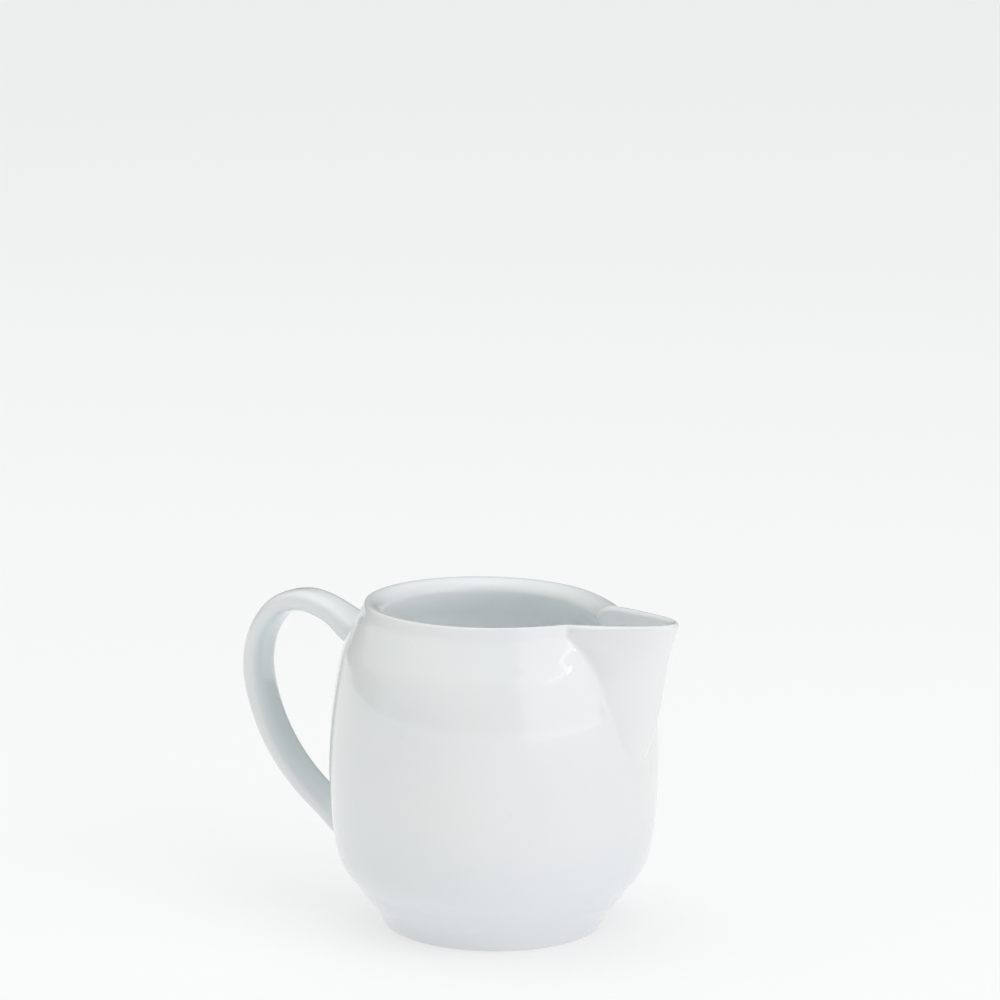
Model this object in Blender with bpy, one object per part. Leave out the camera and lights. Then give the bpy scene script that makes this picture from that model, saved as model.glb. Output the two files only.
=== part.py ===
"""Porcelain cream jug.

A bowl on a foot ring, a beak-shaped spout and a strap handle are made as separate clay
pieces and luted together with thin layers of slip. The jug stands on z = 0 with its spout
towards +X and its handle towards -X, and its origin is under the middle of its bounding box.
"""

import math

import bmesh
import bpy

MM = 0.001

# Driving dimensions, in millimetres. Radii are measured from the bowl's upright axis.
AXIS_X = 10.55           # the bowl's axis lies this far in front of the origin
BELLY_RADIUS = 40.0      # widest part of the bowl
BELLY_HEIGHT = 38.0      # and how high it is
LIP_RADIUS = 28.4        # top of the bowl's lip, before the mouth is drawn out
LIP_TOP = 79.3
LIP_INSIDE = 24.1        # where the lip's inner side stands upright
LIP_INSIDE_HEIGHT = 76.3
MOUTH_DRAW = 3.05        # the mouth is drawn back towards the handle by this much
MOUTH_TILT = 0.25        # and its lip rises by this much on that side
MOUTH_PULL = 6.2         # beside the spout the mouth is pulled forwards by up to this much
MOUTH_PULL_RISE = 0.6    # and up by this much
MOUTH_PULL_ANGLE = math.radians(33.0)
MOUTH_BLEND = (58.0, 77.0)   # heights over which the round belly becomes the mouth

FOOT_OUTER = 25.7        # the standing ring's flat face
FOOT_INNER = 22.0
FOOT_HEIGHT = 5.2
FOOT_WAIST = 29.4
BASE_HEIGHT = 2.4        # underside inside the standing ring
FLOOR_HEIGHT = 5.6       # inside of the bowl at its centre

SPOUT_REACH = 49.6       # nose of the spout at the lip
SPOUT_ROOT = 40.5        # height of the beak solid's lower end, inside the belly's wall
SPOUT_FLARE = 3.82       # half-width of the beak is FLARE * sqrt(distance from its nose)
SPOUT_PINCH = 0.95       # the flare shrinks by this much at the lip
SPOUT_PINCH_HEIGHTS = (62.0, 77.0)
SPOUT_LIP = 79.4         # height of the spout's lip at the bowl
SPOUT_RISE = 0.5         # and how much higher its tip is
SPOUT_WALL_LIP = 1.8
SPOUT_WALL_ROOT = 3.8
CHANNEL_RATIO = 0.75     # the pouring channel's flare over the beak's
SPOUT_BACK = 18.0        # the beak and channel solids end here, inside the bowl

STRAP_WIDTH = 10.1
STRAP_THICKNESS = 5.4
STRAP_SQUARENESS = 2.7   # 2 is an ellipse, more is boxier
STRAP_END_GROWTH = 1.22  # the strap is this much bigger where it meets the bowl
STRAP_END_LENGTH = 9.0   # over this distance

PIECE_GAP = 0.3          # clearance between neighbouring pieces
SLIP_THICKNESS = 0.6     # slip between a luted piece and the bowl
SLIP_SPREAD = 0.5        # slip squeezed out around the strap's ends

TURN_STEPS = 56          # points around the bowl
SECTION_STEPS = 20       # points around the strap
BEAK_STEPS = 14          # points on each side of the beak's nose
BEAK_CROWDING = 2.0      # above 1 they stand closer together near the nose
LIP_STEPS = 4            # points on each side of the lip's rounding
CURVE_STEPS = 3          # spans between two of an outline's own points
CHANNEL_STEPS = 2        # and for the channel's nose
SHARP_ANGLE = math.radians(35.0)

FORM_BOTTOM = -2.0       # the trimming forms start below the foot
FORM_ABOVE_LIP = 9.0     # and end this far above the lip
LEVEL_GAP = 0.4          # no section of the beak is closer than this to its lip

# Outline of the underside and the standing ring, outwards from the middle, as
# (radius, height).
UNDERSIDE = [
    (3.0, BASE_HEIGHT + 0.3),
    (18.0, BASE_HEIGHT),
    (20.6, BASE_HEIGHT - 0.4),
    (21.6, 0.8),
    (FOOT_INNER, 0.0),
    (FOOT_OUTER, 0.0),
    (FOOT_OUTER + 0.9, 0.5),
    (FOOT_OUTER + 1.6, 1.5),
]

# Outline of the bowl's outer side, upwards from the foot.
OUTER_SIDE = [
    (FOOT_WAIST, FOOT_HEIGHT),
    (33.1, 10.0),
    (38.1, 18.5),
    (BELLY_RADIUS, BELLY_HEIGHT),
    (39.0, 56.5),
    (36.6, 65.5),
    (33.2, 71.5),
    (29.9, 76.3),
]

# Outline of the bowl's inner side, downwards from the lip to the floor.
INNER_SIDE = [
    (LIP_INSIDE, LIP_INSIDE_HEIGHT),
    (26.3, 72.6),
    (29.6, 69.0),
    (33.0, 63.5),
    (35.1, 55.0),
    (36.2, 38.0),
    (33.6, 18.5),
    (26.0, 9.6),
    (14.0, 6.2),
    (3.0, FLOOR_HEIGHT),
]

# Outline of the spout's nose, upwards, as (distance from the bowl's axis, height).
NOSE = [
    (36.6, SPOUT_ROOT),
    (39.9, 44.5),
    (42.1, 50.0),
    (44.0, 56.0),
    (45.1, 62.5),
    (46.4, 69.5),
    (48.0, 75.0),
    (SPOUT_REACH, 79.5),
    (51.4, 84.0),
]

# Middle line of the handle, from inside the shoulder to inside the belly, as
# (distance behind the bowl's axis, height).
HANDLE_LINE = [
    (30.5, 63.8),
    (38.2, 67.7),
    (46.4, 72.3),
    (54.3, 74.0),
    (61.4, 71.6),
    (66.6, 64.7),
    (68.2, 56.0),
    (66.4, 47.0),
    (62.0, 37.6),
    (55.0, 29.0),
    (45.2, 21.3),
    (34.4, 15.3),
]

GLAZE_COLOR = (0.80, 0.82, 0.82, 1.0)
GLAZE_ROUGHNESS = 0.12
SLIP_COLOR = (0.74, 0.76, 0.77, 1.0)
SLIP_ROUGHNESS = 0.2


def clear_scene():
    """Remove every object that the file holds."""
    for obj in list(bpy.data.objects):
        bpy.data.objects.remove(obj, do_unlink=True)


def ramp(low, high, value):
    """Rise smoothly from 0 at low to 1 at high."""
    t = min(max((value - low) / (high - low), 0.0), 1.0)
    return t * t * (3.0 - 2.0 * t)


def smooth_line(points, steps):
    """Catmull-Rom curve through the points, with its ends running straight on."""
    first = [2.0 * a - b for a, b in zip(points[0], points[1])]
    last = [2.0 * a - b for a, b in zip(points[-1], points[-2])]
    knots = [first] + [list(point) for point in points] + [last]
    line = []
    for i in range(1, len(knots) - 2):
        for step in range(steps):
            t = step / steps
            line.append(blend_knots(knots[i - 1:i + 3], t))
    line.append(tuple(points[-1]))
    return line


def blend_knots(knots, t):
    """One point of a Catmull-Rom span, t from 0 to 1."""
    weights = (
        -0.5 * t + t ** 2 - 0.5 * t ** 3,
        1.0 - 2.5 * t ** 2 + 1.5 * t ** 3,
        0.5 * t + 2.0 * t ** 2 - 1.5 * t ** 3,
        -0.5 * t ** 2 + 0.5 * t ** 3,
    )
    return tuple(
        sum(w * knot[axis] for w, knot in zip(weights, knots)) for axis in range(2)
    )


def line_at(points, height):
    """Distance from the axis of an upward outline at a height."""
    for (r0, z0), (r1, z1) in zip(points, points[1:]):
        if height <= z1:
            return r0 + (r1 - r0) * (height - z0) / (z1 - z0)
    return points[-1][0]


def elliptic_corner(start, end):
    """Quarter ellipse from an upright side at start to a level top at end, ends left out."""
    corner = []
    for step in range(1, LIP_STEPS):
        angle = 0.5 * math.pi * step / LIP_STEPS
        radius = end[0] + (start[0] - end[0]) * math.cos(angle)
        height = start[1] + (end[1] - start[1]) * math.sin(angle)
        corner.append((radius, height))
    return corner


def bowl_outline():
    """Whole outline of the bowl's wall, from the underside's centre to the floor's."""
    outer = smooth_line(OUTER_SIDE, CURVE_STEPS)
    inner = smooth_line(INNER_SIDE, CURVE_STEPS)
    top = (LIP_RADIUS, LIP_TOP)
    lip_out = elliptic_corner(outer[-1], top)
    lip_in = elliptic_corner(inner[0], top)
    return UNDERSIDE + outer + lip_out + [top] + lip_in[::-1] + inner


def bowl_ring(radius, height):
    """Ring of points around the bowl, drawn out near the mouth."""
    share = ramp(*MOUTH_BLEND, height)
    ring = []
    for step in range(TURN_STEPS):
        angle = 2.0 * math.pi * step / TURN_STEPS
        turn = min(angle, 2.0 * math.pi - angle)
        pull = math.exp(-(turn / MOUTH_PULL_ANGLE) ** 2)
        reach = radius + share * (MOUTH_PULL * pull - MOUTH_DRAW * math.cos(angle))
        rise = share * (MOUTH_PULL_RISE * pull - MOUTH_TILT * math.cos(angle))
        ring.append((reach * math.cos(angle), reach * math.sin(angle), height + rise))
    return ring


def object_from_rings(name, rings, material):
    """Closed solid skinned over rings of equal length, with both ends capped."""
    bm = bmesh.new()
    loops = []
    for ring in rings:
        loops.append([bm.verts.new([MM * value for value in point]) for point in ring])
    count = len(loops[0])
    for lower, upper in zip(loops, loops[1:]):
        for i in range(count):
            j = (i + 1) % count
            bm.faces.new((lower[i], lower[j], upper[j], upper[i]))
    bm.faces.new(loops[0][::-1])
    bm.faces.new(loops[-1])
    bmesh.ops.recalc_face_normals(bm, faces=bm.faces)
    mesh = bpy.data.meshes.new(name)
    bm.to_mesh(mesh)
    bm.free()
    mesh.shade_smooth()
    mesh.set_sharp_from_angle(angle=SHARP_ANGLE)
    mesh.materials.append(material)
    obj = bpy.data.objects.new(name, mesh)
    obj.location = (AXIS_X * MM, 0.0, 0.0)
    bpy.context.scene.collection.objects.link(obj)
    return obj


def make_cutter(obj):
    """Mark an object as a tool for cutting, which isn't a piece of the jug."""
    obj.hide_render = True
    obj.display_type = 'WIRE'
    return obj


def cut(obj, operation, tool):
    """Add an exact Boolean modifier."""
    modifier = obj.modifiers.new(operation.lower(), 'BOOLEAN')
    modifier.operation = operation
    modifier.solver = 'EXACT'
    modifier.object = tool


def make_material(name, color, roughness):
    """Plain Principled material."""
    material = bpy.data.materials.new(name)
    material.use_nodes = True
    shader = material.node_tree.nodes["Principled BSDF"]
    shader.inputs["Base Color"].default_value = color
    shader.inputs["Roughness"].default_value = roughness
    shader.inputs["Metallic"].default_value = 0.0
    return material


def make_bowl_form(name, growth, material):
    """Filled outer form of the bowl, grown outwards, for trimming what is luted to it."""
    side = smooth_line(OUTER_SIDE, CURVE_STEPS)
    outline = [(FOOT_WAIST + growth, FORM_BOTTOM)]
    outline += [(radius + growth, height) for radius, height in side]
    outline.append((side[-1][0] + growth, LIP_TOP + FORM_ABOVE_LIP))
    rings = [bowl_ring(radius, height) for radius, height in outline]
    return make_cutter(object_from_rings(name, rings, material))


def beak_section(nose, flare, height, lift):
    """Section through the beak: a parabola round the nose, ending near the bowl's axis."""
    side = []
    depth = nose - SPOUT_BACK
    for step in range(1, BEAK_STEPS + 1):
        distance = depth * (step / BEAK_STEPS) ** BEAK_CROWDING
        x = nose - distance
        z = height + lift * max(x - LIP_RADIUS, 0.0) / (SPOUT_REACH - LIP_RADIUS)
        side.append((x, flare * math.sqrt(distance), z))
    tip = (nose, 0.0, height + lift * (nose - LIP_RADIUS) / (SPOUT_REACH - LIP_RADIUS))
    mirrored = [(x, -y, z) for x, y, z in reversed(side)]
    return mirrored + [tip] + side


def beak_flare(height):
    """Flare of the beak at a height: even up the jug, pinched in at the lip."""
    return SPOUT_FLARE - SPOUT_PINCH * ramp(*SPOUT_PINCH_HEIGHTS, height)


def make_beak(name, material):
    """Filled outer form of the spout."""
    sections = []
    for distance, height in smooth_line(NOSE[:-1], CURVE_STEPS):
        if height < SPOUT_LIP - LEVEL_GAP:
            sections.append(beak_section(distance, beak_flare(height), height, 0.0))
    nose = line_at(NOSE, SPOUT_LIP + SPOUT_RISE)
    sections.append(beak_section(nose, beak_flare(SPOUT_LIP), SPOUT_LIP, SPOUT_RISE))
    return object_from_rings(name, sections, material)


def make_channel(material):
    """Filled form of the pouring channel, which opens the bowl's wall into the spout."""
    sections = []
    for distance, height in smooth_line(NOSE, CHANNEL_STEPS):
        wall_share = ramp(SPOUT_ROOT, LIP_TOP, height)
        wall = SPOUT_WALL_ROOT + (SPOUT_WALL_LIP - SPOUT_WALL_ROOT) * wall_share
        flare = CHANNEL_RATIO * beak_flare(height)
        sections.append(beak_section(distance - wall, flare, height, 0.0))
    return make_cutter(object_from_rings("channel_form", sections, material))


def strap_section(centre, across, growth, spread):
    """Boxy oval section of the strap at a point of its middle line."""
    half_width = 0.5 * STRAP_WIDTH * growth + spread
    half_thickness = 0.5 * STRAP_THICKNESS * growth + spread
    power = 2.0 / STRAP_SQUARENESS
    section = []
    for step in range(SECTION_STEPS):
        angle = 2.0 * math.pi * step / SECTION_STEPS
        c, s = math.cos(angle), math.sin(angle)
        width = half_width * math.copysign(abs(c) ** power, c)
        depth = half_thickness * math.copysign(abs(s) ** power, s)
        section.append((
            -(centre[0] + depth * across[0]),
            width,
            centre[1] + depth * across[1],
        ))
    return section


def make_strap(name, first, last, spread, material):
    """Strap swept along the handle's middle line, from one of its spans to another."""
    line = smooth_line(HANDLE_LINE, CURVE_STEPS)
    lengths = [0.0]
    for a, b in zip(line, line[1:]):
        lengths.append(lengths[-1] + math.dist(a, b))
    buried = math.dist(HANDLE_LINE[0], HANDLE_LINE[1])
    sections = []
    for i in range(first * CURVE_STEPS, last * CURVE_STEPS + 1):
        before = line[max(i - 1, 0)]
        after = line[min(i + 1, len(line) - 1)]
        run = math.dist(before, after)
        across = ((before[1] - after[1]) / run, (after[0] - before[0]) / run)
        to_end = min(lengths[i], lengths[-1] - lengths[i])
        near_end = 1.0 - ramp(buried, buried + STRAP_END_LENGTH, to_end)
        growth = 1.0 + (STRAP_END_GROWTH - 1.0) * near_end
        sections.append(strap_section(line[i], across, growth, spread))
    return object_from_rings(name, sections, material)


def build_body(glaze, channel):
    """The bowl with its foot ring, opened where the spout is luted on."""
    rings = [bowl_ring(radius, height) for radius, height in bowl_outline()]
    body = object_from_rings("body", rings, glaze)
    cut(body, 'DIFFERENCE', channel)


def build_spout(glaze, slip, channel, forms):
    """The beak and the seam of slip that holds it to the bowl."""
    spout = make_beak("spout", glaze)
    cut(spout, 'DIFFERENCE', channel)
    cut(spout, 'DIFFERENCE', forms["piece"])
    seam = make_beak("slip_joint_spout", slip)
    cut(seam, 'DIFFERENCE', channel)
    cut(seam, 'INTERSECT', forms["slip_outside"])
    cut(seam, 'DIFFERENCE', forms["slip_inside"])


def build_handle(glaze, slip, forms):
    """The strap handle and the two pads of slip that hold its ends."""
    spans = len(HANDLE_LINE) - 1
    handle = make_strap("handle", 0, spans, 0.0, glaze)
    cut(handle, 'DIFFERENCE', forms["piece"])
    for name, first, last in (
        ("slip_joint_upper", 0, 2),
        ("slip_joint_lower", spans - 2, spans),
    ):
        pad = make_strap(name, first, last, SLIP_SPREAD, slip)
        cut(pad, 'INTERSECT', forms["slip_outside"])
        cut(pad, 'DIFFERENCE', forms["slip_inside"])


def main():
    """Build the jug."""
    clear_scene()
    glaze = make_material("glazed_porcelain", GLAZE_COLOR, GLAZE_ROUGHNESS)
    slip = make_material("fired_slip", SLIP_COLOR, SLIP_ROUGHNESS)
    slip_outside = PIECE_GAP + SLIP_THICKNESS
    forms = {
        "slip_inside": make_bowl_form("slip_inside_form", PIECE_GAP, slip),
        "slip_outside": make_bowl_form("slip_outside_form", slip_outside, slip),
        "piece": make_bowl_form("piece_form", slip_outside + PIECE_GAP, slip),
    }
    channel = make_channel(slip)
    build_body(glaze, channel)
    build_spout(glaze, slip, channel, forms)
    build_handle(glaze, slip, forms)


main()
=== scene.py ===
"""Looks of the porcelain cream jug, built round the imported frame.

The jug's skin is one smooth grid of points, wrapped round the bowl from under the foot, up
the outside, over the lip and down to the floor inside. It is then divided, through the
thickness of the wall, into the bowl, the spout and the seam that joins them. The handle and
the two fillets at its ends are a second grid, divided the same way.
"""

import math

import bpy
import numpy as np
from mathutils import Matrix, Vector


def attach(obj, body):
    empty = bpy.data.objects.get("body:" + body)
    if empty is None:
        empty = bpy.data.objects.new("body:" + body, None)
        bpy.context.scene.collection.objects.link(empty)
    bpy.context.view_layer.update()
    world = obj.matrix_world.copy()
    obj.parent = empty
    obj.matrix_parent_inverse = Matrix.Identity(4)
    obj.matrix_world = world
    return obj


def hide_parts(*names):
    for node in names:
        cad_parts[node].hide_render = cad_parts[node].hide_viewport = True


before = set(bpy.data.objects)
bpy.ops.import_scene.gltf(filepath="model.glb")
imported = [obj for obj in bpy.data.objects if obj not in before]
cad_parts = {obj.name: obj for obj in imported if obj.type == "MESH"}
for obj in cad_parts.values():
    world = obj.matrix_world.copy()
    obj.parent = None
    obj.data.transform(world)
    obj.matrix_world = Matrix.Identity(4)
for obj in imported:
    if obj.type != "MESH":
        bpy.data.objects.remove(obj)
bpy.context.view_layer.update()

MM = 0.001
AXIS_X = 10.55                   # the bowl's upright axis, in millimetres from the origin

# ---------------------------------------------------------------------------
# The bowl's outlines, as (distance from the axis, height) in millimetres.

BASE_LINE = [
    (3.0, 2.75), (8.0, 2.7), (14.0, 2.55), (18.0, 2.3), (20.2, 1.8), (21.2, 1.0),
    (21.7, 0.35), (22.1, 0.06), (22.6, 0.0), (23.9, 0.0), (25.3, 0.0), (25.9, 0.08),
    (26.5, 0.4), (27.1, 1.3), (28.0, 3.0), (29.4, 5.2),
]
OUTER_LINE = [
    (29.4, 5.2), (33.1, 10.0), (38.1, 18.5), (40.0, 38.0), (39.0, 56.5), (36.6, 65.5),
    (33.2, 71.5), (30.05, 76.3),
]
LIP = (28.4, 79.3)
INNER_LINE = [
    (24.1, 76.3), (24.6, 74.8), (25.6, 73.3), (27.1, 71.6), (29.9, 68.6), (33.0, 63.5),
    (35.1, 55.0), (36.2, 38.0), (33.6, 18.5), (26.0, 9.6), (14.0, 6.2), (3.0, 5.6),
]
MOUTH_BLEND = (58.0, 77.0)       # the round belly turns into the mouth between these heights
MOUTH_DRAW = 3.05                # the mouth is drawn back towards the handle
MOUTH_TILT = 0.25                # where it stands a little higher
MOUTH_PULL = 6.2                 # and is pulled forwards, and up, beside the spout
MOUTH_PULL_RISE = 0.6
MOUTH_PULL_TURN = math.radians(33.0)

# The spout: a parabola in plan, y = flare * sqrt(nose - x).
NOSE_LINE = [
    (36.6, 40.5), (39.9, 44.5), (42.1, 50.0), (44.0, 56.0), (45.1, 62.5), (46.4, 69.5),
    (48.0, 75.0), (49.6, 79.5), (51.4, 84.0),
]
FLARE = 3.82
FLARE_PINCH = 0.95               # the flare is smaller by this much above these heights
PINCH_BLEND = (62.0, 77.0)
CHANNEL_FLARE = 0.79             # the channel's flare over the spout's
CHANNEL_WALL = (3.8, 1.8)        # wall at the nose, low down and at the lip
CHANNEL_BLEND = (40.5, 79.3)
SPOUT_LIP = 79.4                 # height of the spout's lip beside the bowl
SPOUT_RISE = 0.5                 # and its rise from there to the nose
SPOUT_LIP_FROM, SPOUT_LIP_TO = 28.4, 49.6
CREST_NOSE, CREST_FLARE = 48.75, 2.53    # the parabola of the lip's crest
SPOUT_ROUND = 1.15               # height of the rounding of the spout's lip
QUARTER = 0.5 * math.pi          # the spout lies within a quarter turn either side of +X

# Glaze lies thick in the corners, and rounds them by about this much.
CREASE_SOFTNESS = 0.95
ROOT_SOFTNESS = 0.22             # less at the spout's root
ROOT_SOFTNESS_BLEND = (44.0, 64.0)
CREST_SOFTNESS = 0.7
INSIDE_SOFTNESS = 0.7
# Where the bowl's lip gives way to the spout's, measured from the crest's crease.
LIP_CHANGE = (math.radians(3.0), math.radians(-1.5))

# How the skin's grid is divided.
CREASE_FLOOR = math.radians(4.0) # least turn of the crease's column, used where there is none
CREASE_BAND = math.radians(1.5)  # to either side of it, the columns are close together
SPOUT_COLUMNS, BAND_COLUMNS, BACK_COLUMNS = 16, 20, 72
SPOUT_PACKING, BACK_PACKING = 1.6, 1.35
SEAM_COLUMNS = 4                 # half-width of the seam's band
CURVE_STEPS = 40                 # samples of a curve that rows are read from
LOW_STEPS = 5                    # rows from one of an outline's own points to the next
KNEE_STEPS = 3                   # rows from the last of them up to the spout's root
INSIDE_MARGIN = 1.0              # room under the root's rows on the inner side
ROOT_HEIGHTS = (42.0, 50.0)
ROOT_ROWS, WALL_ROWS, LIP_ROWS = 26, 40, 10
SPOUT_END_ROWS, SEAM_END_ROWS = 14, 7    # the wall's lowest rows, left to the seam and the bowl
INSIDE_ROWS = (2, LIP_ROWS + 6)  # rows past the crest in which the inside's glaze, made brighter as painted light, takes over
DEPTH = "painted_light_and_shade"           # attribute: 0 outside the jug, 1 in its hollows; it marks painted light inside the bowl and painted shade on the handle's hollow side


def ramp(low, high, value):
    """Rise smoothly from 0 at low to 1 at high."""
    t = np.clip((value - low) / (high - low), 0.0, 1.0)
    return t * t * (3.0 - 2.0 * t)


def smooth_max(a, b, softness):
    """The larger of two values, with the corner between them rounded."""
    near = np.maximum(softness - np.abs(a - b), 0.0) / softness
    return np.maximum(a, b) + near * near * softness / 4.0


def smooth_line(points, steps):
    """Catmull-Rom curve through the points."""
    p = np.array(points, float)
    p = np.vstack([2.0 * p[0] - p[1], p, 2.0 * p[-1] - p[-2]])
    t = np.linspace(0.0, 1.0, steps, endpoint=False)[:, None]
    spans = []
    for i in range(1, len(p) - 2):
        a, b, c, d = p[i - 1:i + 3]
        spans.append(0.5 * (2.0 * b + (c - a) * t + (2.0 * a - 5.0 * b + 4.0 * c - d) * t ** 2
                            + (3.0 * b - a - 3.0 * c + d) * t ** 3))
    return np.vstack(spans + [p[-2:-1]])


def bezier(c1, c2, t):
    """Height at t of a cubic that runs from 0 to 1."""
    return 3.0 * (1.0 - t) ** 2 * t * c1 + 3.0 * (1.0 - t) * t ** 2 * c2 + t ** 3


# The lip's outer and inner roundings, as shares of the way from the side to the crest.
BOWL_OUT = ((0.447, 0.605), (0.567, 1.0))
SPOUT_OUT = ((-0.12, 0.45), (0.56, 1.0))
BOWL_IN = ((0.50, 1.0), (0.0, 0.52))
SPOUT_IN = ((0.5, 1.0), (0.0, 0.552))


def finely(points):
    """Heights and radii of a densely sampled upright outline, from low to high."""
    line = smooth_line(points, CURVE_STEPS)
    if line[0, 1] > line[-1, 1]:
        line = line[::-1]
    return line[:, 1], line[:, 0]


def with_lip(heights, radii, across, up):
    """Carry an outline on over the lip's rounding, up to the crest."""
    radius = radii[-1] + (LIP[0] - radii[-1]) * across
    height = heights[-1] + (LIP[1] - heights[-1]) * up
    return np.append(heights, height), np.append(radii, radius)


SWEEP = np.linspace(0.0, 1.0, CURVE_STEPS)
OUT_Z, OUT_R = with_lip(*finely(BASE_LINE[-4:-1] + OUTER_LINE),
                        *(bezier(*ends, SWEEP[1:]) for ends in BOWL_OUT))
IN_Z, IN_R = with_lip(*finely(INNER_LINE[:-3]),
                      *(1.0 - bezier(*ends, SWEEP[-2::-1]) for ends in BOWL_IN))
NOSE_Z, NOSE_X = finely(NOSE_LINE)


def mouth(radius, height, turn):
    """Radius and height of a point of the bowl once its mouth is drawn out."""
    share = ramp(*MOUTH_BLEND, height)
    pull = np.exp(-(turn / MOUTH_PULL_TURN) ** 2)
    return (radius + share * (MOUTH_PULL * pull - MOUTH_DRAW * np.cos(turn)),
            height + share * (MOUTH_PULL_RISE * pull - MOUTH_TILT * np.cos(turn)))


def parabola(nose, flare, turn):
    """Distance from the axis to a parabola round the nose, in the direction turn."""
    c, s = np.cos(turn), np.sin(turn)
    return 2.0 * nose / (c + np.sqrt(c * c + 4.0 * nose * s * s / flare ** 2))


def flare_at(height):
    """Flare of the spout at a height."""
    return FLARE - FLARE_PINCH * ramp(*PINCH_BLEND, height)


def nose_at(height):
    """Nose of the spout at a height."""
    return np.interp(height, NOSE_Z, NOSE_X)


def spout_radius(nose, flare, turn):
    """Distance from the axis to the spout's parabola, or 0 behind the axis."""
    front = np.abs(turn) < QUARTER
    return np.where(front, parabola(nose, flare, np.where(front, turn, 0.0)), 0.0)


def outside(height, turn):
    """The bowl's radius, the spout's radius and the true height, on the outer side."""
    bowl, z = mouth(np.interp(height, OUT_Z, OUT_R), height, turn)
    return bowl, spout_radius(nose_at(z), flare_at(z), turn), z


def inside(height, turn):
    """The bowl's radius, the channel's radius and the true height, on the inner side."""
    bowl, z = mouth(np.interp(height, IN_Z, IN_R), height, turn)
    wall = CHANNEL_WALL[0] + (CHANNEL_WALL[1] - CHANNEL_WALL[0]) * ramp(*CHANNEL_BLEND, z)
    return bowl, spout_radius(nose_at(z) - wall, CHANNEL_FLARE * flare_at(z), turn), z


def crest(turn):
    """The bowl's radius, the spout's radius and their heights, along the crest of the lip."""
    bowl, z = mouth(np.full_like(turn, LIP[0]), np.full_like(turn, LIP[1]), turn)
    spout = spout_radius(CREST_NOSE, CREST_FLARE, turn)
    along = (spout * np.cos(turn) - SPOUT_LIP_FROM) / (SPOUT_LIP_TO - SPOUT_LIP_FROM)
    return bowl, spout, z, SPOUT_LIP + SPOUT_RISE * np.maximum(along, 0.0)


def crossing(side, turns):
    """The turn at which the spout's radius falls under the bowl's."""
    bowl, spout = side[:2]
    inner = np.nonzero(spout > bowl)[0]
    if not len(inner):
        return 0.0
    i = inner[-1]
    before, after = spout[i] - bowl[i], spout[i + 1] - bowl[i + 1]
    return turns[i] + (turns[i + 1] - turns[i]) * before / (before - after)


SCAN = np.linspace(0.0, math.radians(45.0), 900)
CREST_CREASE = crossing(crest(SCAN), SCAN)


def spout_share(turn):
    """1 on the spout's lip and 0 on the bowl's."""
    return ramp(CREST_CREASE + LIP_CHANGE[0], CREST_CREASE + LIP_CHANGE[1], turn)


def side_top(turn, bowl_top):
    """Height, before the mouth is drawn, at which the side ends and the lip's rounding starts."""
    z_bowl, z_spout = crest(turn)[2:]
    rise = z_bowl - LIP[1]
    return bowl_top + spout_share(turn) * (z_spout - SPOUT_ROUND - rise - bowl_top)


def column_turns(crease):
    """Turn of every column of half the grid, packed closely round the crease."""
    crease = (crease ** 4 + CREASE_FLOOR ** 4) ** 0.25
    before = 1.0 - np.linspace(1.0, 0.0, SPOUT_COLUMNS, endpoint=False) ** SPOUT_PACKING
    band = np.linspace(-1.0, 1.0, BAND_COLUMNS, endpoint=False)
    after = np.linspace(0.0, 1.0, BACK_COLUMNS + 1) ** BACK_PACKING
    low, high = crease - CREASE_BAND, crease + CREASE_BAND
    return np.concatenate([low * before, crease + CREASE_BAND * band,
                           high + (math.pi - high) * after])


def softness_at(height, softness):
    """Softness of a crease at a height: it is sharper at the spout's root."""
    return ROOT_SOFTNESS + (softness - ROOT_SOFTNESS) * ramp(*ROOT_SOFTNESS_BLEND, height)


def wall_row(side, bowl_top, share, softness):
    """One row of half the grid, at a share of the way up the wall above the spout's root."""
    def radii(turn):
        top = side_top(turn, bowl_top)
        return side(ROOT_HEIGHTS[1] + (top - ROOT_HEIGHTS[1]) * share, turn)

    turn = column_turns(crossing(radii(SCAN), SCAN))
    bowl, spout, z = radii(turn)
    return turn, smooth_max(bowl, spout, softness_at(z, softness)), z


def root_row(side, height, softness):
    """One row of half the grid, near the spout's root."""
    turn = column_turns(crossing(side(np.full_like(SCAN, height), SCAN), SCAN))
    bowl, spout, z = side(np.full_like(turn, height), turn)
    return turn, smooth_max(bowl, spout, softness_at(z, softness)), z


def crest_row():
    """The crest of the lip."""
    turn = column_turns(CREST_CREASE)
    bowl, spout, z_bowl, z_spout = crest(turn)
    share = spout_share(turn)
    return turn, smooth_max(bowl, spout, CREST_SOFTNESS), z_bowl + share * (z_spout - z_bowl)


def to_points(row):
    """Points of a row from its turns, radii and heights."""
    turn, radius, z = row
    return np.stack([radius * np.cos(turn), radius * np.sin(turn), z], axis=1)


def lip_rows(side_row, crest_points, shares, bowl_shape, spout_shape):
    """Rows of the lip's rounding, between a side and the crest."""
    start = to_points(side_row)
    share = spout_share(side_row[0])[:, None]
    rows = []
    for t in shares:
        across = (1.0 - share) * bezier(*bowl_shape[0], t) + share * bezier(*spout_shape[0], t)
        up = (1.0 - share) * bezier(*bowl_shape[1], t) + share * bezier(*spout_shape[1], t)
        if bowl_shape is BOWL_IN:
            across, up = 1.0 - across, 1.0 - up
        step = crest_points - start
        rows.append(start + step * np.hstack([across, across, up]))
    return rows


def plain_rows(points):
    """Rows that follow an outline where the bowl is round."""
    turn = column_turns(0.0)
    return [to_points((turn, np.full_like(turn, r), np.full_like(turn, z))) for r, z in points]


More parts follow.
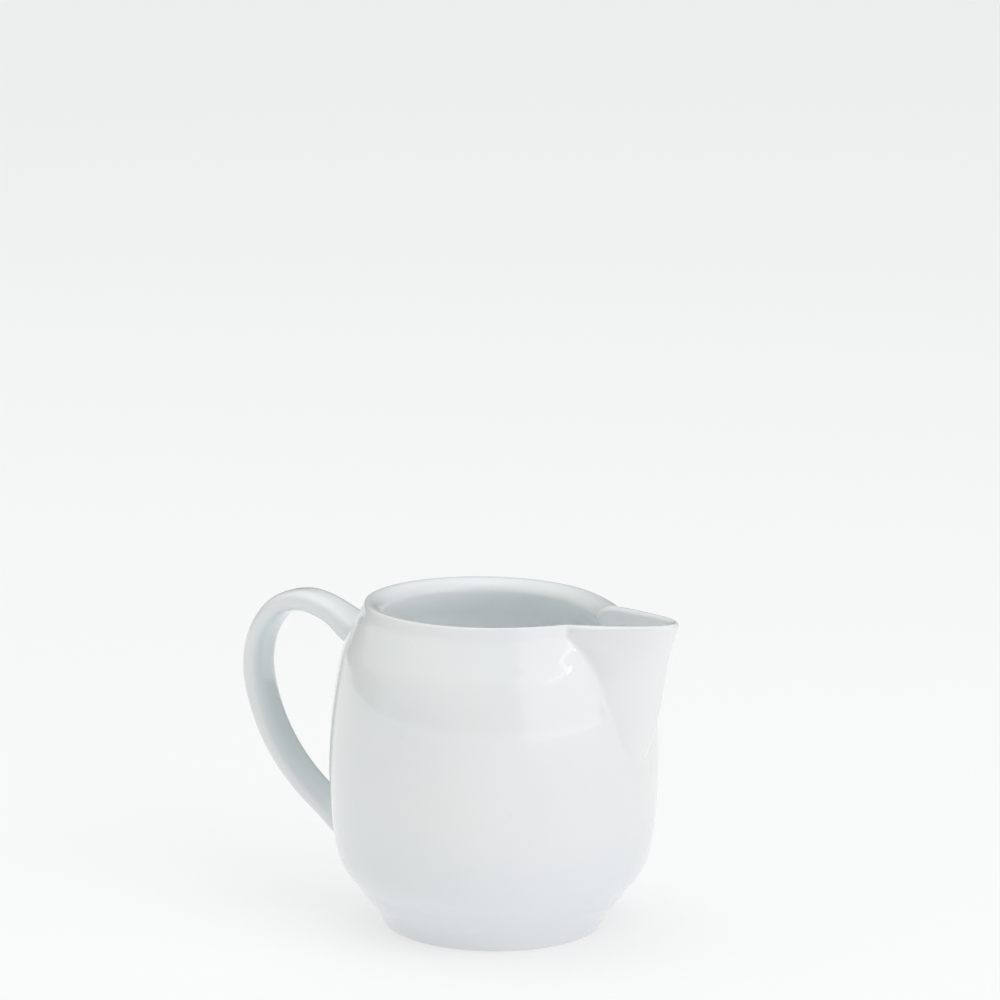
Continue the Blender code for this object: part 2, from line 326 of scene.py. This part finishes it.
def skin_rows():
    """Every row of half the skin, from under the foot to the floor inside."""
    side = [p for p in OUTER_LINE if p[1] < ROOT_HEIGHTS[0]]
    base = smooth_line(BASE_LINE[:-1] + OUTER_LINE, LOW_STEPS)[:LOW_STEPS * (len(BASE_LINE) - 1)]
    low = smooth_line(side, 2 * LOW_STEPS)
    knee = np.linspace(low[-1, 1], ROOT_HEIGHTS[0], KNEE_STEPS + 1)[1:-1]
    lower = [*base, *[(np.interp(z, OUT_Z, OUT_R), z) for z in (*low[:, 1], *knee)]]

    floor = smooth_line(INNER_LINE, 2 * LOW_STEPS)
    floor = floor[floor[:, 1] < ROOT_HEIGHTS[0] - INSIDE_MARGIN]
    inner_low = [(np.interp(z, IN_Z, IN_R) if z > INNER_LINE[-4][1] else r, z) for r, z in floor]

    root = np.linspace(*ROOT_HEIGHTS, ROOT_ROWS, endpoint=False)
    shares = np.linspace(0.0, 1.0, WALL_ROWS)
    outer = [root_row(outside, z, CREASE_SOFTNESS) for z in root]
    outer += [wall_row(outside, OUTER_LINE[-1][1], s, CREASE_SOFTNESS) for s in shares]
    inner = [root_row(inside, z, INSIDE_SOFTNESS) for z in root]
    inner += [wall_row(inside, INNER_LINE[0][1], s, INSIDE_SOFTNESS) for s in shares]

    top = to_points(crest_row())
    steps = np.linspace(0.0, 1.0, LIP_ROWS + 1)[1:-1]
    out_lip = lip_rows(outer[-1], top, steps, BOWL_OUT, SPOUT_OUT)
    in_lip = lip_rows(inner[-1], top, steps, BOWL_IN, SPOUT_IN)
    rows = plain_rows(lower) + [to_points(row) for row in outer] + out_lip
    crest_index = len(rows)
    rows += [top] + in_lip + [to_points(row) for row in inner[::-1]]
    rows += plain_rows(inner_low)
    return np.array(rows), crest_index


def whole_turn(rows):
    """Both halves of the skin, with column 0 at the spout's nose."""
    mirrored = rows[:, -2:0:-1] * [1.0, -1.0, 1.0]
    return np.concatenate([rows, mirrored], axis=1)


def grid_normals(grid):
    """Unit normals of a grid of points whose last column meets its first."""
    around = np.roll(grid, -1, axis=1) - np.roll(grid, 1, axis=1)
    along = np.empty_like(grid)
    along[1:-1] = grid[2:] - grid[:-2]
    along[0], along[-1] = grid[1] - grid[0], grid[-1] - grid[-2]
    normal = np.cross(around, along)
    return normal / np.linalg.norm(normal, axis=2, keepdims=True)


def make_piece(name, points, normals, smooth_faces, flat_faces, material, depth):
    """A mesh from a pool of points: its smooth faces take the pool's normals.

    depth is the pool's attribute for the materials, 0 on the open sides and 1 in the hollows,
    where the materials paint light inside the bowl and shade on the handle's hollow side.
    """
    faces = [list(f) for f in smooth_faces] + [list(f) for f in flat_faces]
    used = np.unique([i for f in faces for i in f])
    place = {int(old): new for new, old in enumerate(used)}
    mesh = bpy.data.meshes.new(name)
    at = np.array(points)[used] * MM + [AXIS_X * MM, 0.0, 0.0]
    mesh.from_pydata(at.tolist(), [], [[place[int(i)] for i in f] for f in faces])
    mesh.shade_smooth()
    corner_normals = [normals[i] for f in smooth_faces for i in f]
    for polygon in mesh.polygons[len(smooth_faces):]:
        corner_normals += [np.array(polygon.normal)] * polygon.loop_total
        for loop in polygon.loop_indices:
            mesh.edges[mesh.loops[loop].edge_index].use_edge_sharp = True
    mesh.normals_split_custom_set([tuple(map(float, n)) for n in corner_normals])
    mesh.materials.append(material)
    inside_depth = mesh.attributes.new(DEPTH, 'FLOAT', 'POINT')
    inside_depth.data.foreach_set("value", depth[used])
    piece = bpy.data.objects.new(name, mesh)
    bpy.context.scene.collection.objects.link(piece)
    return piece


def divide_skin(grid, crest_index):
    """Faces of the bowl, the seam and the spout, smooth and flat, by name."""
    rows, columns = grid.shape[:2]
    crease = SPOUT_COLUMNS + BAND_COLUMNS // 2
    reach = LIP_ROWS + WALL_ROWS + ROOT_ROWS

    def label(depth, column):
        across = min(column, columns - 1 - column)
        if depth < reach - SPOUT_END_ROWS and across < crease - SEAM_COLUMNS:
            return "spout"
        if depth < reach - SEAM_END_ROWS and across < crease + SEAM_COLUMNS:
            return "seam"
        return "bowl"

    smooth = {"bowl": [], "seam": [], "spout": []}
    flat = {"bowl": [], "seam": [], "spout": []}

    def at(row, column):
        return row * columns + column % columns

    for row in range(rows - 1):
        depth = crest_index - 1 - row if row < crest_index else row - crest_index
        for column in range(columns):
            quad = (at(row, column), at(row, column + 1), at(row + 1, column + 1),
                    at(row + 1, column))
            smooth[label(depth, column)].append(quad)

    def cut(first, second, edge):
        """Faces through the wall under one edge of the grid, for the two pieces it parts."""
        (d1, c1), (d2, c2) = edge
        out1, out2 = at(crest_index - d1, c1), at(crest_index - d2, c2)
        in1, in2 = at(crest_index + d1, c1), at(crest_index + d2, c2)
        corners = [out1, out2, in2, in1]
        face = [c for k, c in enumerate(corners) if c != corners[k - 1]]
        flat[first].append(face[::-1])
        flat[second].append(face)

    for depth in range(reach):
        for column in range(columns):
            here = label(depth, column)
            beside = label(depth, (column + 1) % columns)
            below = label(depth + 1, column)
            if here != beside:
                cut(here, beside, ((depth + 1, column + 1), (depth, column + 1)))
            if here != below:
                cut(here, below, ((depth + 1, column), (depth + 1, column + 1)))
    return smooth, flat


def build_vessel(glaze, slip):
    """The bowl, the spout and the seam between them."""
    rows, crest_index = skin_rows()
    grid = whole_turn(rows)
    count, columns = grid.shape[:2]
    points = grid.reshape(-1, 3)
    normals = grid_normals(grid).reshape(-1, 3)
    smooth, flat = divide_skin(grid, crest_index)
    # Fans round the axis close the underside and the floor inside.
    for row, z, up in ((0, grid[0, 0, 2], -1.0), (count - 1, grid[-1, 0, 2], 1.0)):
        points = np.vstack([points, [[0.0, 0.0, z]]])
        normals = np.vstack([normals, [[0.0, 0.0, up]]])
        middle = len(points) - 1
        for column in range(columns):
            a, b = row * columns + column, row * columns + (column + 1) % columns
            smooth["bowl"].append((a, middle, b) if up < 0.0 else (b, middle, a))
    row = np.arange(count)[:, None] * np.ones(columns)
    depth = ramp(*INSIDE_ROWS, row - crest_index).reshape(-1)
    depth = np.append(depth, [0.0, 1.0])
    made = {}
    for part, name, material in (("bowl", "jug_bowl", glaze), ("spout", "jug_spout", glaze),
                                 ("seam", "spout_seam", slip)):
        made[part] = make_piece(name, points, normals, smooth[part], flat[part], material,
                                depth)
    return made


# ---------------------------------------------------------------------------
# The handle: a strap swept along a line, as (distance behind the axis, height).

HANDLE_LINE = [
    (26.3, 61.7), (30.5, 63.8), (38.2, 67.7), (46.4, 72.3), (54.3, 74.0), (61.4, 71.6),
    (66.6, 64.7), (68.2, 56.0), (66.4, 47.0), (62.0, 37.6), (55.0, 29.0), (45.2, 21.3),
    (34.4, 15.3), (28.3, 11.9),
]
HANDLE_STEPS = 16                # samples between two of the line's own points
STRAP_WIDTH, STRAP_THICKNESS = 10.1, 5.4
STRAP_SQUARENESS = 2.7           # exponent of its cross-section; 2 would be an ellipse
STRAP_GROWTH, STRAP_GROWTH_LENGTH = 1.22, 9.0    # the strap is larger near its ends
STRAP_COLUMNS, STRAP_ROWS = 56, 110
FILLET, FILLET_ROWS = 1.5, 8
SUNK_REACH, SUNK_DEPTH = 0.7, 0.15       # the fillet's edge goes on under the bowl's skin
HANDLE_EYE = (-48.0, 0.0, 46.0)  # middle of the handle's opening
HOLLOW_BLEND = (0.0, 0.95)       # how squarely the strap's hollow side faces it, which sets the painted shade there
SLOPE_STEP = 0.05                # for the slope of the bowl's side


def bowl_gap(points):
    """Distance of points outside the bowl's side, along the radius."""
    turn = np.arctan2(points[..., 1], points[..., 0])
    bowl, _ = mouth(np.interp(points[..., 2], OUT_Z, OUT_R), points[..., 2], turn)
    return np.hypot(points[..., 0], points[..., 1]) - bowl


def bowl_normals(points):
    """Unit normals of the bowl's side at points on it."""
    steps = SLOPE_STEP * np.eye(3)
    slope = np.stack([bowl_gap(points + step) - bowl_gap(points - step) for step in steps],
                     axis=-1)
    return slope / np.linalg.norm(slope, axis=-1, keepdims=True)


def onto_bowl(points, lift):
    """Points moved along the radius onto the bowl's side, and then by lift along its normal."""
    radius = np.hypot(points[..., 0], points[..., 1])
    scale = 1.0 - bowl_gap(points) / radius
    on = points * np.stack([scale, scale, np.ones_like(scale)], axis=-1)
    return on + lift * bowl_normals(on)


def runs_along(curve):
    """Distance run along a curve, or along each column of a grid, at every row."""
    steps = np.cumsum(np.linalg.norm(np.diff(curve, axis=0), axis=-1), axis=0)
    return np.concatenate([np.zeros_like(steps[:1]), steps])


def point_at(run, runs, column):
    """The point of a column of points at a distance run along it."""
    return [np.interp(run, runs, column[:, axis]) for axis in range(3)]


def strap_grid():
    """The strap's points before its ends are trimmed, one row for each step of its line."""
    line = smooth_line(HANDLE_LINE, HANDLE_STEPS)
    run = runs_along(line)
    tangent = np.gradient(line, axis=0)
    tangent /= np.linalg.norm(tangent, axis=1, keepdims=True)
    across = np.stack([-tangent[:, 1], tangent[:, 0]], axis=1)
    buried = math.dist(HANDLE_LINE[0], HANDLE_LINE[2])
    to_end = np.minimum(run, run[-1] - run)
    plain = ramp(buried, buried + STRAP_GROWTH_LENGTH, to_end)
    growth = (1.0 + (STRAP_GROWTH - 1.0) * (1.0 - plain))[:, None]
    angle = np.linspace(0.0, 2.0 * math.pi, STRAP_COLUMNS, endpoint=False)
    c, s = np.cos(angle), np.sin(angle)
    power = 2.0 / STRAP_SQUARENESS
    width = 0.5 * STRAP_WIDTH * np.sign(c) * np.abs(c) ** power
    depth = 0.5 * STRAP_THICKNESS * np.sign(s) * np.abs(s) ** power
    behind = line[:, 0, None] + growth * depth * across[:, 0, None]
    z = line[:, 1, None] + growth * depth * across[:, 1, None]
    return np.stack([-behind, growth * width, z], axis=2)


def end_rows(curve):
    """Rows of one end's fillet, from the bowl's side outwards, and where the strap starts.

    curve runs from inside the bowl outwards; the rows follow the bowl's side.
    """
    gaps = bowl_gap(curve)
    count = curve.shape[1]
    hit, start = np.empty((count, 3)), np.empty((count, 3))
    from_run = np.empty(count)
    runs = runs_along(curve)
    near = len(gaps) // 4        # rows of this end; the other end is buried too
    for k in range(count):
        i = np.nonzero(gaps[:near, k] < 0.0)[0][-1]
        t = gaps[i, k] / (gaps[i, k] - gaps[i + 1, k])
        run = runs[i, k] + t * (runs[i + 1, k] - runs[i, k])
        from_run[k] = run + FILLET
        hit[k] = point_at(run, runs[:, k], curve[:, k])
        start[k] = point_at(from_run[k], runs[:, k], curve[:, k])
    normal = bowl_normals(hit)
    out = hit - hit.mean(axis=0)
    out -= normal * np.sum(out * normal, axis=1, keepdims=True)
    out /= np.linalg.norm(out, axis=1, keepdims=True)
    foot = onto_bowl(hit + FILLET * out, 0.0)
    sunk = onto_bowl(hit + (FILLET + SUNK_REACH) * out, -SUNK_DEPTH)
    rows = [sunk]
    for t in np.linspace(0.0, 1.0, FILLET_ROWS, endpoint=False):
        rows.append((1.0 - t) ** 2 * foot + 2.0 * t * (1.0 - t) * hit + t ** 2 * start)
    return rows, from_run


def build_handle(glaze, slip):
    """The strap and the fillets that join it to the bowl."""
    curve = strap_grid()
    first, first_run = end_rows(curve)
    last, last_run = end_rows(curve[::-1])
    runs = runs_along(curve)
    middle = []
    for share in np.linspace(0.0, 1.0, STRAP_ROWS):
        run = first_run + share * (runs[-1] - last_run - first_run)
        middle.append(np.array([point_at(run[k], runs[:, k], curve[:, k])
                                for k in range(STRAP_COLUMNS)]))
    grid = np.array(first + middle + last[::-1])[:, ::-1]
    points = grid.reshape(-1, 3)
    normals = grid_normals(grid).reshape(-1, 3)
    # Painted shade: the strap's side that faces its opening is marked for a darker, bluer colour.
    to_eye = (np.array(HANDLE_EYE) - points) * (1.0, 0.0, 1.0)
    to_eye /= np.linalg.norm(to_eye, axis=1, keepdims=True)
    hollow = ramp(*HOLLOW_BLEND, np.sum(normals * to_eye, axis=1))
    hollow = np.append(hollow, (0.0, 0.0))       # the middles of a piece's two end caps
    cut = FILLET_ROWS + 3        # a fillet's piece ends on the strap's third row
    end = len(grid) - 1
    parts = (("handle_fillet_upper", 0, cut, slip), ("jug_handle", cut, end - cut, glaze),
             ("handle_fillet_lower", end - cut, end, slip))
    made = []
    for name, low, high, material in parts:
        pool, pool_normals = points, normals
        smooth, caps = [], []
        for row in range(low, high):
            for k in range(STRAP_COLUMNS):
                j = (k + 1) % STRAP_COLUMNS
                a, b = row * STRAP_COLUMNS, (row + 1) * STRAP_COLUMNS
                smooth.append((a + k, a + j, b + j, b + k))
        for row, flip in ((low, False), (high, True)):
            ring = [row * STRAP_COLUMNS + k for k in range(STRAP_COLUMNS)]
            pool = np.vstack([pool, points[ring].mean(axis=0)])
            pool_normals = np.vstack([pool_normals, [[0.0, 0.0, 1.0]]])
            centre = len(pool) - 1
            for k in range(STRAP_COLUMNS):
                a, b = ring[k], ring[(k + 1) % STRAP_COLUMNS]
                caps.append((a, b, centre) if flip else (b, a, centre))
        made.append(make_piece(name, pool, pool_normals, smooth, caps, material, hollow))
    return made


# ---------------------------------------------------------------------------
# Materials.

GLAZE = (0.860, 0.870, 0.868)
SLIP = (0.858, 0.869, 0.866)
INSIDE_GLAZE_PAINTED_LIGHT = (0.972, 0.985, 0.987)     # inside the bowl: the glaze made brighter than real porcelain, painted light
HOLLOW_SIDE_PAINTED_SHADE = (0.740, 0.790, 0.805)     # painted shade: darker and bluer along the handle's hollow side
BISCUIT = ((0.70, 0.68, 0.64, 1.0), (0.62, 0.60, 0.56, 1.0))
SPECK = (0.52, 0.49, 0.44, 1.0)
DEEP_TINT = (0.968, 0.975, 0.982)        # where the glaze drifts thicker
FOOT_SHADE_TINT = (0.90, 0.925, 0.95)        # painted shade: darker and bluer towards the foot
FOOT_SHADE_HEIGHTS = (0.002, 0.038)          # fully shaded and not shaded, in metres

GLAZE_IOR, BODY_SPECULAR = 1.5, 0.25
GLAZE_ROUGHNESS, SLIP_ROUGHNESS, BISCUIT_ROUGHNESS = 0.2, 0.17, 0.75
ROUGHNESS_RANGE = (0.85, 1.25)           # the roughness drifts between these multiples
COAT, INSIDE_COAT, COAT_ROUGHNESS = 0.95, 0.25, 0.035

# Noise patterns, as scale, detail and seed.
DRIFT_NOISE = (22.0, 3.0, 1.0)
SPECK_NOISE = (900.0, 0.0, 2.0)
RING_NOISE = (260.0, 2.0, 3.0)
GRIT_NOISE = (2600.0, 3.0, 4.0)
GLOSS_NOISE = (60.0, 4.0, 5.0)
WAVE_NOISE = (95.0, 2.0, 6.0)
NOISE_BAND = (0.3, 0.7)                  # the values that most of a noise lies between
SPECK_BAND, SPECK_STRENGTH = (0.80, 0.86), 0.10
RING_WOBBLE = 0.00035                    # the bare ring's edge, in metres
RING_HEIGHTS = (0.00035, 0.00055)
WAVE_STRENGTH, WAVE_DEPTH, GRIT_DEPTH = 0.5, 0.00006, 0.00004


def glaze_material(name, color, roughness, painted_light_and_shade_color, hollow_coat):
    """White porcelain under a clear glaze, with a bare biscuit foot ring, a colour for the
    hollows that paints light inside the bowl and shade on the handle, and painted shade towards
    the foot.
    """
    material = bpy.data.materials.new(name)
    material.use_nodes = True
    nodes, links = material.node_tree.nodes, material.node_tree.links
    shader = nodes["Principled BSDF"]
    shader.inputs["IOR"].default_value = GLAZE_IOR
    shader.inputs["Specular IOR Level"].default_value = BODY_SPECULAR
    shader.inputs["Coat Roughness"].default_value = COAT_ROUGHNESS
    shader.inputs["Coat IOR"].default_value = GLAZE_IOR

    place = nodes.new("ShaderNodeTexCoord").outputs["Object"]

    def noise(scale, detail, seed):
        node = nodes.new("ShaderNodeTexNoise")
        node.noise_dimensions = '4D'
        node.inputs["W"].default_value = seed
        node.inputs["Scale"].default_value = scale
        node.inputs["Detail"].default_value = detail
        links.new(place, node.inputs["Vector"])
        return node.outputs["Fac"]

    def spread(value, low, high, band):
        node = nodes.new("ShaderNodeMapRange")
        node.interpolation_type = 'SMOOTHSTEP'
        for key, number in (("From Min", band[0]), ("From Max", band[1]),
                            ("To Min", low), ("To Max", high)):
            node.inputs[key].default_value = number
        links.new(value, node.inputs["Value"])
        return node.outputs["Result"]

    # A Mix node's inputs 6 and 7 are its two colours, and its inputs 2 and 3 its two numbers.
    def mixed(share, first, second):
        node = nodes.new("ShaderNodeMix")
        node.data_type = 'RGBA'
        links.new(share, node.inputs["Factor"])
        for socket, value in ((node.inputs[6], first), (node.inputs[7], second)):
            if isinstance(value, tuple):
                socket.default_value = value
            else:
                links.new(value, socket)
        return node.outputs[2]

    def blended(share, first, second):
        node = nodes.new("ShaderNodeMix")
        node.data_type = 'FLOAT'
        links.new(share, node.inputs["Factor"])
        for socket, value in ((node.inputs[2], first), (node.inputs[3], second)):
            if isinstance(value, float):
                socket.default_value = value
            else:
                links.new(value, socket)
        return node.outputs[0]

    def tinted(tint):
        return tuple(c * k for c, k in zip(color, tint)) + (1.0,)

    # Slow drifts of the body's colour and a few pale specks, with painted light and shade: a
    # brighter colour inside the bowl, a darker, bluer one on the handle's hollow side, and
    # darker, bluer glaze towards the foot.
    drift = spread(noise(*DRIFT_NOISE), 0.0, 1.0, NOISE_BAND)
    body = mixed(drift, color + (1.0,), tinted(DEEP_TINT))
    hollow = nodes.new("ShaderNodeAttribute")
    hollow.attribute_name = DEPTH
    body = mixed(hollow.outputs["Fac"], body, painted_light_and_shade_color + (1.0,))
    height = nodes.new("ShaderNodeSeparateXYZ")
    links.new(place, height.inputs[0])
    # Painted shade: the glaze is darker and bluer towards the foot.
    foot_shade = spread(height.outputs["Z"], 1.0, 0.0, FOOT_SHADE_HEIGHTS)
    body = mixed(foot_shade, body, tinted(FOOT_SHADE_TINT))
    speck = spread(noise(*SPECK_NOISE), 0.0, SPECK_STRENGTH, SPECK_BAND)
    body = mixed(speck, body, SPECK)

    # The standing ring is wiped clean of glaze: dry, pale biscuit.
    edge = nodes.new("ShaderNodeMath")
    edge.operation = 'MULTIPLY_ADD'
    links.new(noise(*RING_NOISE), edge.inputs[0])
    edge.inputs[1].default_value = RING_WOBBLE
    links.new(height.outputs["Z"], edge.inputs[2])
    bare = spread(edge.outputs[0], 1.0, 0.0, RING_HEIGHTS)
    grit = noise(*GRIT_NOISE)
    biscuit = mixed(spread(grit, 0.0, 1.0, NOISE_BAND), *BISCUIT)
    links.new(mixed(bare, body, biscuit), shader.inputs["Base Color"])

    gloss = spread(noise(*GLOSS_NOISE), *(roughness * share for share in ROUGHNESS_RANGE),
                   NOISE_BAND)
    links.new(blended(bare, gloss, BISCUIT_ROUGHNESS), shader.inputs["Roughness"])

    # The glaze has settled into very shallow waves; the biscuit is finely gritty.
    waves = nodes.new("ShaderNodeBump")
    waves.inputs["Strength"].default_value = WAVE_STRENGTH
    waves.inputs["Distance"].default_value = WAVE_DEPTH
    links.new(noise(*WAVE_NOISE), waves.inputs["Height"])
    grain = nodes.new("ShaderNodeBump")
    grain.inputs["Distance"].default_value = GRIT_DEPTH
    links.new(bare, grain.inputs["Strength"])
    links.new(grit, grain.inputs["Height"])
    links.new(waves.outputs["Normal"], grain.inputs["Normal"])
    links.new(grain.outputs["Normal"], shader.inputs["Normal"])
    links.new(waves.outputs["Normal"], shader.inputs["Coat Normal"])
    coat = spread(edge.outputs[0], 0.0, COAT, RING_HEIGHTS)
    links.new(blended(hollow.outputs["Fac"], coat, hollow_coat), shader.inputs["Coat Weight"])
    return material


# ---------------------------------------------------------------------------
# Light, floor and camera.

DIFFUSE_BOUNCES, MAX_BOUNCES = 12, 16    # the inside of the bowl is lit by light from its walls
FLOOR_SIZE = 12.0                # from the origin to each edge, in metres
FLOOR_COLOR = (0.45, 0.45, 0.45, 1.0)
FLOOR_GLOW = 0.54
WORLD_COLOR = (0.20, 0.20, 0.20)
# Soft regions of the surroundings: turn from -Y, height, sharpness, brightness.
GLOWS = (
    (0.0, 90.0, 14.0, (1.40, 1.40, 1.40)),
    (-150.0, 55.0, 8.0, (0.89, 0.93, 1.05)),
    (-60.0, 55.0, 8.0, (0.48, 0.54, 0.43)),
    (120.0, 55.0, 8.0, (0.36, 0.48, 0.36)),
)
# Upright panels of soft light round the jug: name, from turn to turn and from height to height
# in degrees, distance in metres, radiance. Heights are seen from a point beside the belly.
PANEL_HEIGHT = 0.04
PANELS = (
    ("softbox_right", (50.0, 108.0), (-1.8, 60.0), 1.0, (1.20, 1.14, 1.21)),
    ("panel_front", (10.0, 50.0), (-1.5, 60.0), 1.2, (0.28, 0.28, 0.28)),
    ("panel_left", (-60.0, 10.0), (-1.5, 60.0), 1.2, (0.32, 0.33, 0.35)),
    ("softbox_left", (-115.0, -60.0), (15.0, 60.0), 1.2, (0.34, 0.34, 0.34)),
    ("bulb", (83.1, 84.9), (44.0, 45.4), 1.3, (16.0, 16.0, 16.0)),
    ("bulb_small", (89.5, 91.1), (37.2, 38.6), 1.3, (3.0, 3.0, 3.0)),
    ("strip", (67.5, 83.0), (45.6, 47.4), 1.3, (2.0, 2.0, 2.0)),
)


def bearing(turn, height):
    """Unit vector towards a turn from -Y and a height, both in degrees."""
    turn, height = math.radians(turn), math.radians(height)
    flat = math.cos(height)
    return (math.sin(turn) * flat, -math.cos(turn) * flat, math.sin(height))


def make_floor():
    """A wide pale floor, whose glow stands for the light of a white studio all round."""
    mesh = bpy.data.meshes.new("floor")
    corners = [(-1, -1), (1, -1), (1, 1), (-1, 1)]
    mesh.from_pydata([(FLOOR_SIZE * x, FLOOR_SIZE * y, 0.0) for x, y in corners], [],
                     [(0, 1, 2, 3)])
    material = bpy.data.materials.new("floor_paint")
    material.use_nodes = True
    shader = material.node_tree.nodes["Principled BSDF"]
    shader.inputs["Base Color"].default_value = FLOOR_COLOR
    shader.inputs["Roughness"].default_value = 1.0
    shader.inputs["Specular IOR Level"].default_value = 0.0
    shader.inputs["Emission Color"].default_value = (1.0, 1.0, 1.0, 1.0)
    shader.inputs["Emission Strength"].default_value = FLOOR_GLOW
    mesh.materials.append(material)
    floor = bpy.data.objects.new("floor", mesh)
    bpy.context.scene.collection.objects.link(floor)


def make_world():
    """Pale surroundings with a few broad, soft, brighter regions."""
    world = bpy.data.worlds.new("studio")
    bpy.context.scene.world = world
    world.use_nodes = True
    nodes, links = world.node_tree.nodes, world.node_tree.links
    direction = nodes.new("ShaderNodeTexCoord").outputs["Generated"]

    def vector(operation, first, second, scale=None):
        node = nodes.new("ShaderNodeVectorMath")
        node.operation = operation
        for socket, value in ((node.inputs[0], first), (node.inputs[1], second),
                              (node.inputs[3], scale)):      # 3 is the factor of a SCALE node
            if isinstance(value, tuple):
                socket.default_value = value
            elif value is not None:
                links.new(value, socket)
        return node.outputs["Value" if operation == 'DOT_PRODUCT' else "Vector"]

    def number(operation, first, second):
        node = nodes.new("ShaderNodeMath")
        node.operation = operation
        links.new(first, node.inputs[0])
        node.inputs[1].default_value = second
        return node.outputs[0]

    total = WORLD_COLOR
    for turn, height, sharpness, color in GLOWS:
        facing = number('MAXIMUM', vector('DOT_PRODUCT', direction, bearing(turn, height)), 0.0)
        share = number('POWER', facing, sharpness)
        total = vector('ADD', total, vector('SCALE', color, None, share))
    links.new(total, nodes["Background"].inputs["Color"])
    nodes["Background"].inputs["Strength"].default_value = 1.0


def make_panel(name, turns, heights, distance, radiance):
    """An upright soft light that faces the jug, seen only by what it lights."""
    low, high = (distance * math.tan(math.radians(height)) for height in heights)
    width = 2.0 * distance * math.tan(math.radians(0.5 * (turns[1] - turns[0])))
    lamp = bpy.data.lights.new(name, 'AREA')
    lamp.shape = 'RECTANGLE'
    lamp.size, lamp.size_y = width, high - low
    lamp.energy = math.pi * width * (high - low)
    lamp.color = radiance
    obj = bpy.data.objects.new(name, lamp)
    away = Vector(bearing(0.5 * (turns[0] + turns[1]), 0.0))
    obj.location = Vector((AXIS_X * MM, 0.0, PANEL_HEIGHT + 0.5 * (low + high))) + distance * away
    obj.rotation_euler = (-away).to_track_quat('-Z', 'Y').to_euler()
    obj.visible_camera = False
    bpy.context.scene.collection.objects.link(obj)


CAMERA_DISTANCE, CAMERA_HEIGHT = 0.9694, 0.2910
CAMERA_TURN = math.radians(30.0)
CAMERA_PITCH = math.radians(10.887)
CAMERA_ROLL = math.radians(0.426)
CAMERA_ASIDE = 0.000935          # to the right of the bowl's axis, in metres
CAMERA_LENS, CAMERA_SENSOR = 148.32, 36.0
CAMERA_NEAR = 0.01


def make_camera():
    """A camera that looks slightly down at the jug's side, with the spout to the right."""
    camera = bpy.data.objects.new("camera", bpy.data.cameras.new("camera"))
    camera.data.lens = CAMERA_LENS
    camera.data.sensor_width = CAMERA_SENSOR
    camera.data.clip_start = CAMERA_NEAR
    c, s = math.cos(CAMERA_TURN), math.sin(CAMERA_TURN)
    x = AXIS_X * MM + CAMERA_DISTANCE * s + CAMERA_ASIDE * c
    y = -CAMERA_DISTANCE * c + CAMERA_ASIDE * s
    camera.matrix_world = (
        Matrix.Translation((x, y, CAMERA_HEIGHT))
        @ Matrix.Rotation(CAMERA_TURN, 4, 'Z')
        @ Matrix.Rotation(0.5 * math.pi - CAMERA_PITCH, 4, 'X')
        @ Matrix.Rotation(CAMERA_ROLL, 4, 'Z')
    )
    bpy.context.scene.collection.objects.link(camera)
    bpy.context.scene.camera = camera


def main():
    """Build the scene."""
    make_camera()
    make_world()
    make_floor()
    for panel in PANELS:
        make_panel(*panel)
    bpy.context.scene.view_settings.view_transform = 'Standard'
    bpy.context.scene.cycles.diffuse_bounces = DIFFUSE_BOUNCES
    bpy.context.scene.cycles.max_bounces = MAX_BOUNCES

    glaze, slip = (GLAZE, GLAZE_ROUGHNESS), (SLIP, SLIP_ROUGHNESS)
    # The bowl's inside gets a brighter colour as painted light; the handle's hollow side gets a
    # darker, bluer one as painted shade.
    inside_painted_light_looks, strap_painted_shade_looks = (INSIDE_GLAZE_PAINTED_LIGHT, INSIDE_COAT), (HOLLOW_SIDE_PAINTED_SHADE, COAT)
    vessel = build_vessel(glaze_material("porcelain_glaze", *glaze, *inside_painted_light_looks),
                          glaze_material("glazed_slip", *slip, *inside_painted_light_looks))
    upper, strap, lower = build_handle(glaze_material("handle_glaze", *glaze, *strap_painted_shade_looks),
                                       glaze_material("handle_slip", *slip, *strap_painted_shade_looks))
    for piece, node, slot in (
        (vessel["bowl"], "body", "glazed_porcelain"),
        (vessel["spout"], "spout", "glazed_porcelain"),
        (vessel["seam"], "slip_joint_spout", "fired_slip"),
        (strap, "handle", "glazed_porcelain"),
        (upper, "slip_joint_upper", "fired_slip"),
        (lower, "slip_joint_lower", "fired_slip"),
    ):
        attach(piece, "root")
        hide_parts(node)


main()
